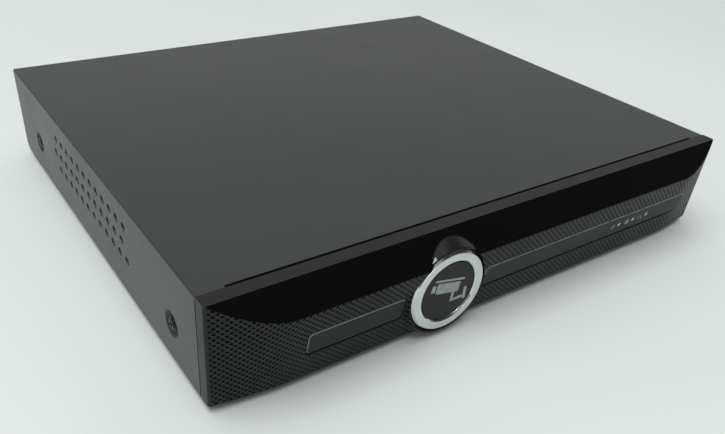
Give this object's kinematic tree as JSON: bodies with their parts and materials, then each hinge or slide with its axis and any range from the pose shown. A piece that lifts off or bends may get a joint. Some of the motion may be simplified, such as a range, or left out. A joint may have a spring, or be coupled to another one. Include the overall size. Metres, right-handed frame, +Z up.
{
  "type": "video recorder",
  "caption": "Shallow black recorder box with a sloping gloss-and-dimpled front, a round silver badge, vented sides and a rear row of sockets; holds a hard disk.",
  "frame": {"origin": "on the surface it stands on, under the middle of the whole recorder, bezel and sockets included", "axes": "+X to the right seen from the front, +Y towards the rear sockets, +Z up; the badge faces -Y"},
  "size_m": [0.2604, 0.236, 0.0445],
  "materials": {
    "painted_cover": "satin black powder coat over sheet steel",
    "plated_tray": "zinc-plated sheet steel",
    "black_screws": "black oxide steel",
    "zinc_screws": "zinc-plated steel",
    "bezel_abs": "moulded black ABS, a polished sloping band above a dimpled face",
    "strip_plastic": "satin black moulded plastic",
    "silver_ring": "satin silver with polished edges",
    "socket_plastic": "black moulded plastic",
    "nickel": "nickel-plated shell",
    "vga_blue": "blue moulded plastic",
    "audio_white": "white moulded plastic",
    "audio_red": "red moulded plastic",
    "cast_aluminium": "cast and machined aluminium",
    "platter_mirror": "polished disk",
    "circuit_board": "green solder mask on glass-fibre board",
    "light_guide_clear": "clear moulded acrylic",
    "foot_rubber": "black moulded rubber",
    "lead_red": "red cable jacket",
    "lead_grey": "grey ribbon cable"
  },
  "bodies": {
    "case": {"top_cover": "painted_cover", "base_tray": "plated_tray", "disk_lid": "plated_tray", "magnet_yoke": "plated_tray", "side_screw_left_front": "black_screws", "side_screw_left_rear": "black_screws", "side_screw_right_front": "black_screws", "side_screw_right_rear": "black_screws", "rear_screw_left": "black_screws", "rear_screw_right": "black_screws", "disk_screw_1": "zinc_screws", "disk_screw_2": "zinc_screws", "disk_screw_3": "zinc_screws", "disk_screw_4": "zinc_screws", "board_screw_1": "zinc_screws", "board_screw_2": "zinc_screws", "board_screw_3": "zinc_screws", "board_screw_4": "zinc_screws", "front_bezel": "bezel_abs", "left_strip": "strip_plastic", "indicator_strip": "strip_plastic", "badge_disc": "strip_plastic", "badge_ring": "silver_ring", "bnc_housing": "socket_plastic", "audio_housing": "socket_plastic", "dc_socket": "socket_plastic", "switch_housing": "socket_plastic", "battery_holder": "socket_plastic", "buzzer": "socket_plastic", "processor": "socket_plastic", "switch_lead": "socket_plastic", "sata_power_lead": "socket_plastic", "bnc_socket_1": "nickel", "bnc_socket_2": "nickel", "bnc_socket_3": "nickel", "bnc_socket_4": "nickel", "hdmi_socket": "nickel", "usb_socket": "nickel", "ethernet_socket": "nickel", "vga_shell": "nickel", "coin_cell": "nickel", "vga_insert": "vga_blue", "audio_socket_in": "audio_white", "audio_socket_out": "audio_red", "disk_casting": "cast_aluminium", "heat_sink": "cast_aluminium", "main_board": "circuit_board", "disk_board": "circuit_board", "light_board": "circuit_board", "light_guide": "light_guide_clear", "foot_front_left": "foot_rubber", "foot_rear_left": "foot_rubber", "foot_front_right": "foot_rubber", "foot_rear_right": "foot_rubber", "sata_data_lead": "lead_red", "front_ribbon": "lead_grey"},
    "rocker": {"power_rocker": "strip_plastic"},
    "spindle": {"disk_platter": "platter_mirror", "spindle_hub": "cast_aluminium"},
    "actuator": {"actuator_arm": "cast_aluminium"}
  },
  "joints": [
    {"name": "power_switch", "type": "hinge", "parent": "case", "child": "rocker", "pos_m": [-0.096, 0.1074, 0.02375], "axis": [-1, 0, 0], "range_deg": [0, 26]},
    {"name": "disk_spin", "type": "hinge", "parent": "case", "child": "spindle", "pos_m": [-0.07, -0.0469, 0.02], "axis": [0, 0, 1], "continuous": true},
    {"name": "arm_swing", "type": "hinge", "parent": "case", "child": "actuator", "pos_m": [-0.0085, -0.0609, 0.02], "axis": [0, 0, 1], "range_deg": [0, 28]}
  ]
}
